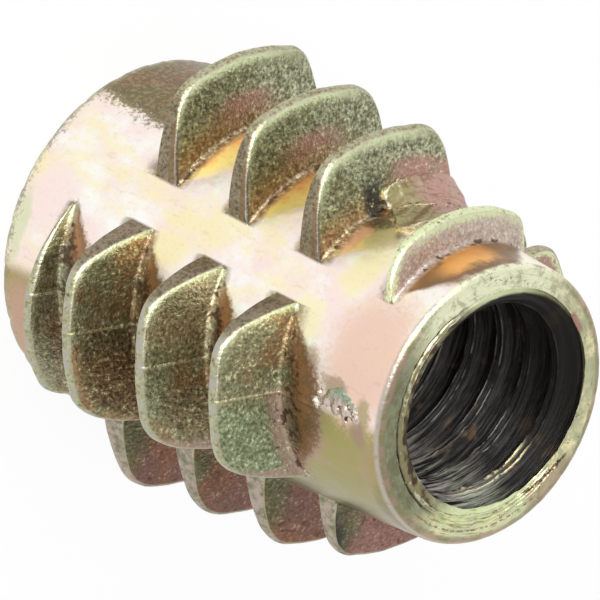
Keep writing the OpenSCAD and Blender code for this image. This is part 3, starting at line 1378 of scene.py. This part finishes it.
        # fins at 90 degrees: rose patches, and rust near their roots
        top = around(90.0, 46.0, 4.0)
        side = around(180.0, 44.0, 4.0)
        bottom = around(270.0, 46.0, 4.0)
        first_two = around(92.0, 10.0, 8.0) * lift.band(0.14, 0.5, 0.12) * z.fall(8.0, 8.6)
        third = around(66.0, 20.0, 6.0) * lift.band(0.1, 0.6, 0.1) * z.band(8.4, 9.6, 0.1)
        rosy = first_two.most(third) * clump.rise(0.28, 0.46)
        shade = shade.lay(dark.mix(c.rose, (0.6, 0.36, 0.3)), rosy * cloud.rise(0.2, 0.4))
        rusty = dark.mix(c.brown, (0.6, 0.44, 0.27))
        near_root = top * lift.fall(0.1, 0.42) * around(98.0, 36.0, 8.0)
        shade = shade.lay(rusty, near_root * 0.85)
        # fins at 180 degrees: tan, with green, pink and dark ones among them
        tan = cloud.rise(0.4, 0.6).mix(c.sage, (0.5, 0.33, 0.18))
        tan = dark.mix(cloud.rise(0.42, 0.58).mix(c.moss, c.brown), tan)
        shade = shade.lay(tan, side * place.noise(1.1).rise(0.25, 0.45))
        shade = shade.lay(c.moss, side * around(168.0, 10.0, 12.0) * 0.4)
        green_fin = around(198.0, 17.0, 2.0) * z.band(8.7, 10.6, 0.1)
        shade = shade.lay(dark.mix(c.moss, (0.42, 0.5, 0.31)), green_fin)
        pink_edge = (place.bent_angle + depth.fall(0.1, 0.5) * 6.0).rise(-157.0, -150.0)
        pink_edge = pink_edge * around(205.0, 14.0, 2.0) * z.band(6.0, 10.6, 0.2) * 0.8
        shade = shade.lay(dark.mix(c.dusk, (0.5, 0.36, 0.31)), pink_edge)
        pale_root = lift.fall(0.12, 0.26) * z.band(8.7, 10.6, 0.1) * around(196.0, 18.0, 4.0)
        shade = shade.lay(clump.fall(0.36, 0.44).mix(c.dusk, c.umber), pale_root * 0.85)
        dark_fin = around(198.0, 20.0, 2.0) * z.band(3.6, 5.8, 0.1) * depth.rise(0.1, 0.5)
        shade = shade.lay(dark.mix(c.umber, c.olive), dark_fin * 0.85)
        low_side = around(202.0, 16.0, 4.0) * depth.rise(0.3, 0.7) * z.fall(8.5, 8.7)
        shade = shade.lay(dark.mix(c.umber, c.rusty), low_side * 0.5)
        # fins at 270 degrees: rusty, with a greenish side, and darker as painted shade on this row turned
        # from the light
        low = cloud.rise(0.4, 0.6).mix((0.33, 0.165, 0.105), (0.27, 0.15, 0.125))
        low = low.lay((0.4, 0.22, 0.185), z.rise(8.4, 8.7))
        low = low.lay(c.umber, clump.fall(0.34, 0.44, 0.7))
        green = place.bent_angle.fall(-114.0, -106.0) * cloud.rise(0.3, 0.5)
        low = low.lay(dark.mix(c.moss, (0.22, 0.22, 0.12)), green)
        low = low.lay(c.slate, place.spot(243.0, 9.75, 8.0, 0.3) * 0.9)
        shade = shade.lay(dark.mix(low.lay(c.umber, 0.5), low), bottom)
        # single fins that differ from their rows, the row at 0 degrees, and the painted shadow of the flash
        pale_fin = top * z.rise(10.5, 10.8)
        shade = shade.lay(dark.mix((0.5, 0.38, 0.33), (0.72, 0.6, 0.54)), pale_fin * 0.9)
        back = z.rise(9.8, 10.4).most(cloud.rise(0.42, 0.6))
        shade = shade.lay(dark.mix(c.dusk, c.rose), around(5.0, 45.0, 4.0) * back)
        # painted shadow that the flash casts on the flank beside it
        shadow = place.spot(96.0, 9.1, 5.0, 0.6) * lift.fall(0.3, 0.56)
        shade = shade.lay(c.slate, shadow * 0.9)
        second = around(162.0, 13.0, 5.0) * z.band(6.0, 7.9, 0.1)
        shade = shade.lay((0.8, 0.66, 0.44), second * (dark * 0.5 + 0.06))
        last = side * z.fall(2.4, 2.9) * clump.rise(0.4, 0.55) * 0.6
        shade = shade.lay((0.5, 0.46, 0.34), last)
        # painted glints on the grain, a painted lime highlight along the crest edge, and painted shade along
        # the roots
        painted_glints = speckle.rise(0.58, 0.66) * depth.rise(0.1, 0.3) * 0.8
        painted_glints = painted_glints * (1.0 - bottom * 0.7)
        shade = shade.lay(c.lime, painted_glints)
        # painted lime highlight along the crest edge of the fins that face the light
        edge = (speckle + place.rough) * 0.6 + depth
        bright = around(96.0, 20.0, 10.0).most(around(152.0, 14.0, 4.0))
        bright = bright.most(z.rise(10.5, 10.8)) * cloud.rise(0.2, 0.5)
        shade = shade.lay(c.lime, edge.fall(0.42, 0.58) * bright * 0.9)
        shade = shade.lay(c.sage, depth.fall(0.05, 0.09, 0.8))
        ending = around(126.0, 9.0, 3.0) * depth.fall(0.1, 0.2) * z.fall(10.5, 10.8)
        shade = shade.lay((0.13, 0.11, 0.09), ending * 0.9)
        # painted shade in broken dashes along the roots
        dashes = place.noise(3.0, 2.0, 0.6).rise(0.54, 0.6)
        return shade.lay(c.umber, lift.fall(0.012, 0.04) * dashes * 0.85)

    def crest(self, place: Place, speckle: Tone) -> Tone:
        """Colour of the crests and of the sloping ends of the fins.

        Args:
            place: Where the shaded point lies.
            speckle: Fine grain of the film.

        Returns:
            The colour.
        """
        c = self.colours
        around, z = place.around, place.z
        across = (1.0 - place.valley) / 0.283
        wear = place.noise(4.0, 4.0, 0.7)
        dark = speckle.rise(0.3, 0.62)
        shade = dark.mix(c.olive, c.sage)
        shade = shade.lay(c.mauve, wear.rise(0.44, 0.6))
        shade = shade.lay(c.umber, wear.fall(0.3, 0.4) * 0.8)
        top = around(90.0, 46.0, 4.0)
        shade = shade.lay(dark.mix(c.brown, c.sage), top * 0.85)
        bottom = around(270.0, 46.0, 4.0)
        shade = shade.lay(wear.rise(0.38, 0.6).mix((0.2, 0.19, 0.12), (0.46, 0.37, 0.3)), bottom * 0.9)
        low_end = place.mask("lift").fall(0.5, 0.8) * around(145.0, 8.0, 2.0)
        shade = shade.lay(dark.mix(c.brown, c.dusk), low_end * wear.rise(0.3, 0.5))
        upper_end = around(121.0, 9.0, 2.0).most(around(151.0, 11.0, 2.0))
        upper_end = upper_end * wear.rise(0.28, 0.4) * z.fall(10.6, 10.9)
        shade = shade.lay(dark.mix((0.1, 0.075, 0.045), (0.3, 0.24, 0.16)), upper_end * 0.85)
        strip = across.band(0.16, 0.42, 0.05) * around(124.0, 9.0, 2.0)
        shade = shade.lay(c.brown, strip * 0.6)
        back = around(5.0, 45.0, 4.0) * wear.rise(0.4, 0.6)
        shade = shade.lay(dark.mix(c.dusk, c.rose), back)
        first = top * z.rise(10.9, 11.1) * speckle.rise(0.3, 0.5)
        shade = shade.lay(c.lime, first)
        # painted highlight in a thin white line along the crest edge
        edge_glint = across.band(0.04, 0.14, 0.03) * wear.rise(0.46, 0.58) * 0.4
        return shade.lay(c.white, edge_glint)

    def ring(self, place: Place) -> Tone:
        """Colour of the annular face at the pilot end: mottled, with turning lines at its lower side.

        Args:
            place: Where the shaded point lies.

        Returns:
            The colour.
        """
        c = self.colours
        around, z, radius = place.around, place.z, place.radius
        cloud = place.noise(1.1, 3.0, 0.6)
        blot = place.noise(3.2, 4.0, 0.7)
        turned = place.sheet.noise(place.polar, 1.0, 4.0, 0.65)
        shade = cloud.rise(0.4, 0.6).mix(c.sage, c.pale_gold)
        shade = shade.lay(c.sage, blot.rise(0.42, 0.6, 0.9))
        top = around(92.0, 42.0, 16.0)
        shade = shade.lay((0.92, 0.94, 0.66), top * blot.fall(0.46, 0.66))
        left = around(186.0, 44.0, 14.0)
        shade = shade.lay(blot.rise(0.36, 0.66).mix((0.22, 0.21, 0.12), (0.3, 0.33, 0.21)), left)
        foot = around(272.0, 34.0, 10.0)
        shade = shade.lay(c.lime, foot * turned.rise(0.4, 0.55))
        shade = shade.lay(c.brown, foot * turned.fall(0.38, 0.46) * 0.55)
        shade = shade.lay(c.moss, turned.rise(0.54, 0.66) * 0.3)
        lip = radius.fall(2.83, 2.87) * around(172.0, 62.0, 12.0)
        bead = place.noise(4.5, 3.0, 0.6).rise(0.5, 0.58)
        shade = shade.lay(bead.mix(c.olive, (0.66, 0.66, 0.5)), lip * 0.85)
        groove = radius.band(2.87, 2.92, 0.02) * around(172.0, 62.0, 10.0)
        shade = shade.lay(c.umber, groove * blot.rise(0.3, 0.42))
        chip = around(30.0, 6.0, 1.5) * radius.band(2.8, 3.1, 0.03)
        shade = shade.lay(c.rose, chip)
        shade = shade.lay(c.brown, place.noise(5.5, 3.0, 0.6).rise(0.63, 0.71, 0.7))
        # a torn dark line that runs outwards at the lower right, with a duller band beyond it
        beyond = radius - (place.angle * 0.0093 + 3.44) + place.rough * 0.25
        right = around(309.0, 14.0, 3.0)
        shade = shade.lay((0.46, 0.37, 0.25), right * beyond.rise(-0.02, 0.04) * 0.8)
        shade = shade.lay(c.umber, right * beyond.band(-0.04, 0.04, 0.02))
        broken = radius.band(3.12, 3.17, 0.02) * around(262.0, 40.0, 8.0) * 0.8
        shade = shade.lay(c.brown, broken * place.rough.rise(-0.06, 0.02))
        outer = radius.rise(3.24, 3.36)
        worn = blot.rise(0.42, 0.58).mix(c.dusk, c.olive)
        shade = shade.lay(worn, outer * (1.0 - top) * 0.85)
        # painted highlight on the outer rounded edge at the left
        rim = radius.rise(3.43, 3.48) * around(196.0, 50.0, 12.0) * 0.6
        shade = shade.lay((0.64, 0.58, 0.53), rim * blot.rise(0.3, 0.5))
        return shade.lay(c.mauve, z.fall(12.86, 12.92) * blot.rise(0.5, 0.6))

    def bore(self, place: Place, helix: Tone, lines: Tone) -> Tone:
        """Colour of the bore: near black as painted shade, with fine lines along the thread, painted light on
        its lower left, painted glints on the thread edges and a painted shadow inside the mouth.

        Args:
            place: Where the shaded point lies.
            helix: Place along the machine thread, in turns.
            lines: Fine lines along it.

        Returns:
            The colour.
        """
        c = self.colours
        around, z = place.around, place.z
        # near black as painted shade in the bore, with painted light on its lower left wall
        lit_wall = around(240.0, 42.0, 22.0) * z.rise(6.0, 10.0)
        shade = lines.rise(0.4, 0.66).mix((0.022, 0.021, 0.02), (0.08, 0.075, 0.068))
        tint = place.noise(0.9, 3.0).rise(0.4, 0.6).mix((0.8, 0.69, 0.64), (0.7, 0.73, 0.58))
        shade = shade.lay(tint, lit_wall * lines.rise(0.4, 0.62) * 0.9)
        spots = place.noise(1.6, 3.0).rise(0.6, 0.72) * 0.35
        shade = shade.lay(c.brown, spots)
        away = abs((helix + 0.5).fraction() - 0.5)
        # painted glints along the edges of the thread
        edge = away.band(0.085, 0.125, 0.012) * place.noise(1.8, 3.0).rise(0.45, 0.6)
        shade = shade.lay(c.white, edge * (0.26 + lit_wall * 0.3))
        # painted shadow inside the mouth at 10 degrees
        mouth_shadow = around(10.0, 56.0, 24.0) * z.rise(10.6, 11.6)
        shade = shade.lay((0.02, 0.019, 0.017), mouth_shadow * 0.85)
        torn = away.band(0.06, 0.13, 0.02) * around(288.0, 26.0, 8.0) * z.rise(11.8, 12.0)
        torn = torn * place.noise(3.4, 2.0).rise(0.42, 0.5)
        shade = shade.lay(c.pale_gold, torn * 0.7)
        lip = around(30.0, 35.0, 15.0).mix(c.lime, c.olive)
        dull = place.noise(4.0, 3.0).rise(0.4, 0.6).mix(c.umber, c.olive)
        lip = lip.lay(dull, around(172.0, 66.0, 14.0))
        return shade.lay(lip, z.rise(12.88, 12.93))

    def build(self) -> bpy.types.Material:
        """Makes the material of the cast body.

        Returns:
            The material.
        """
        c = self.colours
        sheet = NodeSheet("chromate_film")
        place = Place(sheet, self.thread)
        fine = place.noise(self.grain_scale, 2.0, 0.6)
        speckle = fine * 0.75 + place.noise(4.0, 2.0, 0.5) * 0.25
        # whole numbers on the crests of the machine thread
        helix = place.z - MachineThread().phase - place.angle / 360.0
        around = sheet.join(helix * 15.0, place.x * 0.5, place.y * 0.5)
        lines = sheet.noise(around, 1.0, 4.0, 0.7)
        flank = place.mask(Zone.LEAD_FLANK.mask) + place.mask(Zone.TRAIL_FLANK.mask)
        crest = place.mask(Zone.CREST.mask)
        ring = place.mask(Zone.PILOT_RING.mask)
        bore = place.mask(Zone.BORE.mask)
        bay, in_bay = self.golden_bay(place)
        shade = self.core(place, bay, in_bay)
        shade = shade.lay(self.lead(place, speckle), flank)
        shade = shade.lay(self.crest(place, speckle), crest)
        shade = shade.lay(self.ring(place), ring)
        shade = shade.lay(self.bore(place, helix, lines), bore)
        shade = shade.lay(speckle.rise(0.4, 0.6).mix(c.brown, c.sage), place.mask(Zone.SOCKET.mask))
        seam = abs(place.y - PartingLine().offset / MM).fall(0.01, 0.035) * (1.0 - ring.most(bore))
        shade = shade.lay(c.pale_gold, seam * flank * 0.2)
        grainy = flank + crest * 0.6 + ring * 0.35
        streak = place.noise(5.0, 3.0, 0.6, stretch=(1.0, 1.0, 0.25))
        wavy = place.noise(1.7, 3.0, 0.6, stretch=(1.0, 1.0, 0.6))
        height = speckle * grainy * 1.35 + streak * 0.12 + wavy * 0.9 + lines * bore * 1.6
        roughness = 0.25 + grainy * 0.12 + streak * 0.12 + bore * 0.22
        matt = 0.14 + place.z.fall(5.7, 6.4, 0.6)
        metal = 1.0 - in_bay * place.mask(Zone.CORE.mask) * matt
        return sheet.finish(shade, roughness, height, self.relief, metal)


@dataclass(frozen=True)
class FlashFilm:
    """The same film on the scrap of flash and on the scar, which are brighter along their torn edges."""

    name: str
    base: Colour
    second: Colour
    split_angle: float
    split_reach: float
    colours: FilmColours = field(default_factory=FilmColours)
    thread: WoodThread = field(default_factory=WoodThread)

    def build(self) -> bpy.types.Material:
        """Makes the material.

        Returns:
            The material.
        """
        c = self.colours
        sheet = NodeSheet(self.name)
        place = Place(sheet, self.thread)
        grain = place.noise(9.0, 3.0, 0.6)
        low, high = self.split_angle - self.split_reach, self.split_angle + self.split_reach
        shade = place.bent_angle.fall(low, high).mix(self.base, self.second)
        shade = shade.lay(c.brown, grain.rise(0.5, 0.7, 0.5))
        shade = shade.lay(c.sage, place.noise(4.0).rise(0.55, 0.7, 0.5))
        bright = place.mask("border").fall(0.35, 0.75)
        shade = shade.lay((0.85, 0.78, 0.56), bright * grain.rise(0.35, 0.45))
        shade = shade.lay(c.umber, place.mask("pit").rise(0.2, 0.8))
        seam = place.mask("seam")
        shade = shade.lay(c.umber, seam.band(0.05, 0.14, 0.03) * grain.rise(0.52, 0.6))
        streak = place.noise(3.0, 3.0, 0.6, stretch=(0.6, 1.0, 4.0))
        shade = shade.lay(c.brown, streak.rise(0.5, 0.62, 0.45))
        # painted highlight along the ridge of the flash
        shade = shade.lay(c.pale_gold, seam.rise(0.16, 0.4, 0.85))
        roughness = 0.28 + grain * 0.15
        return sheet.finish(shade, roughness, grain, 0.02 * MM)


@dataclass(frozen=True)
class Studio:
    """Floor, lamps and camera."""

    lens: float = 720.0
    sensor: float = 36.0
    eye: Tuple[float, float, float] = (-174.9507 * MM, 113.9515 * MM, 204.7566 * MM)
    right: Tuple[float, float, float] = (0.761833, 0.042224, 0.646396)
    up: Tuple[float, float, float] = (0.225931, 0.917891, -0.326238)
    back: Tuple[float, float, float] = (-0.607096, 0.39458, 0.68974)
    floor_flat: float = 0.5
    cove_radius: float = 0.8
    cove_height: float = 0.5
    cove_rows: int = 12
    floor_steps: int = 96
    floor_grey: float = 0.86
    floor_glow: float = 0.94
    world_grey: float = 0.8
    lamp_place: Triple = (-0.066, 0.094, 0.096)
    lamp_size: float = 0.11
    lamp_power: float = 0.19
    aim_height: float = 0.006

    def camera(self) -> None:
        """Makes the camera, turned about its own axis so that the bore points down to the right."""
        data = bpy.data.cameras.new("camera")
        data.lens = self.lens
        data.sensor_width = self.sensor
        data.clip_start = 0.01
        data.clip_end = 5.0
        thing = bpy.data.objects.new("camera", data)
        turn = Matrix((self.right, self.up, self.back)).transposed().to_4x4()
        thing.matrix_world = Matrix.Translation(Vector(self.eye)) @ turn
        bpy.context.scene.collection.objects.link(thing)
        bpy.context.scene.camera = thing

    def floor(self) -> bpy.types.Object:
        """Makes the pale floor, which curves up far from the insert.

        Returns:
            The new object.
        """
        rise = self.cove_radius - self.floor_flat
        bends = [math.radians(90 * (k + 1) / self.cove_rows) for k in range(self.cove_rows)]
        profile = [(self.floor_flat, 0.0)]
        profile += [(self.floor_flat + rise * math.sin(b), rise * (1 - math.cos(b))) for b in bends]
        profile.append((self.cove_radius, self.cove_height))
        steps = self.floor_steps
        around = [(math.cos(math.tau * k / steps), math.sin(math.tau * k / steps)) for k in range(steps)]
        points = [(0.0, 0.0, 0.0)] + [(r * x, r * y, h) for r, h in profile for x, y in around]
        faces = []
        for k in range(steps):
            after = (k + 1) % steps
            faces.append((0, 1 + k, 1 + after))
            for row in range(len(profile) - 1):
                a = 1 + row * steps
                faces.append((a + k, a + steps + k, a + steps + after, a + after))
        mesh = bpy.data.meshes.new("floor")
        mesh.from_pydata(points, [], faces)
        mesh.shade_smooth()
        mesh.materials.append(self.floor_paint())
        thing = bpy.data.objects.new("floor", mesh)
        bpy.context.scene.collection.objects.link(thing)
        return thing

    def floor_paint(self) -> bpy.types.Material:
        """Pale paint that glows white where it is seen or mirrored, so that only a faint shadow is left.

        Returns:
            The material.
        """
        sheet = NodeSheet("floor_white")
        nodes = sheet.tree.nodes
        nodes.remove(sheet.shader)
        matt = sheet.node("ShaderNodeBsdfDiffuse", {"Color": (self.floor_grey,) * 3})
        glow = sheet.node("ShaderNodeEmission", {"Color": (1.0, 1.0, 1.0), "Strength": 1.0})
        kinds = ("Is Camera Ray", "Is Glossy Ray", "Is Transmission Ray")
        camera, glossy, through = (sheet.node("ShaderNodeLightPath", {}, kind) for kind in kinds)
        seen = camera.most(glossy).most(through) * self.floor_glow
        paint = sheet.node("ShaderNodeMixShader", {0: seen, 1: matt, 2: glow})
        sheet.feed(nodes["Material Output"].inputs[0], paint)
        return sheet.material

    def lamp(self, name: str, place: Sequence[float], size: float, power: float) -> None:
        """Makes one square soft lamp that faces the insert.

        Args:
            name: Name of the lamp.
            place: Where it hangs.
            size: Width of its square.
            power: Its power in watts.
        """
        data = bpy.data.lights.new(name, "AREA")
        data.shape = "SQUARE"
        data.size = size
        data.energy = power
        thing = bpy.data.objects.new(name, data)
        thing.location = place
        aim = Vector((0.0, 0.0, self.aim_height)) - Vector(place)
        thing.rotation_euler = aim.to_track_quat("-Z", "Y").to_euler()
        bpy.context.scene.collection.objects.link(thing)

    def world(self) -> None:
        """Sets a plain grey world."""
        world = bpy.data.worlds.new("room")
        world.use_nodes = True
        shade = world.node_tree.nodes["Background"]
        shade.inputs["Color"].default_value = (self.world_grey,) * 3 + (1.0,)
        bpy.context.scene.world = world

    def build(self) -> None:
        """Makes the camera, the floor, the world and the lamps."""
        self.camera()
        self.floor()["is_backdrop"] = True
        self.world()
        self.lamp("key_lamp", self.lamp_place, self.lamp_size, self.lamp_power)


def main() -> None:
    """Builds the insert and the studio."""
    logging.basicConfig(level=logging.INFO, format="%(message)s")
    bpy.context.scene.view_settings.view_transform = "Standard"
    cad_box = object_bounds()
    Studio().build()
    body = CastBody().build()
    body.data.materials.append(ChromateFilm().build())
    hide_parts("insert_body")
    flash = CastingFlash().build()
    flash_film = FlashFilm("flash_film", (0.42, 0.37, 0.19), (0.56, 0.34, 0.29), 79.0, 6.0)
    flash.data.materials.append(flash_film.build())
    scar = CastingScar().build()
    scar_film = FlashFilm("scar_film", (0.66, 0.56, 0.50), (0.28, 0.38, 0.30), 171.0, 3.0)
    scar.data.materials.append(scar_film.build())
    for piece in (body, flash, scar):
        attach(piece, "root")
    bpy.context.view_layer.update()
    boxes = {"cad": cad_box, "visual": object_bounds()}
    boxes = {key: [[float(v) for v in corner] for corner in box] for key, box in boxes.items()}


if __name__ == "__main__":
    main()
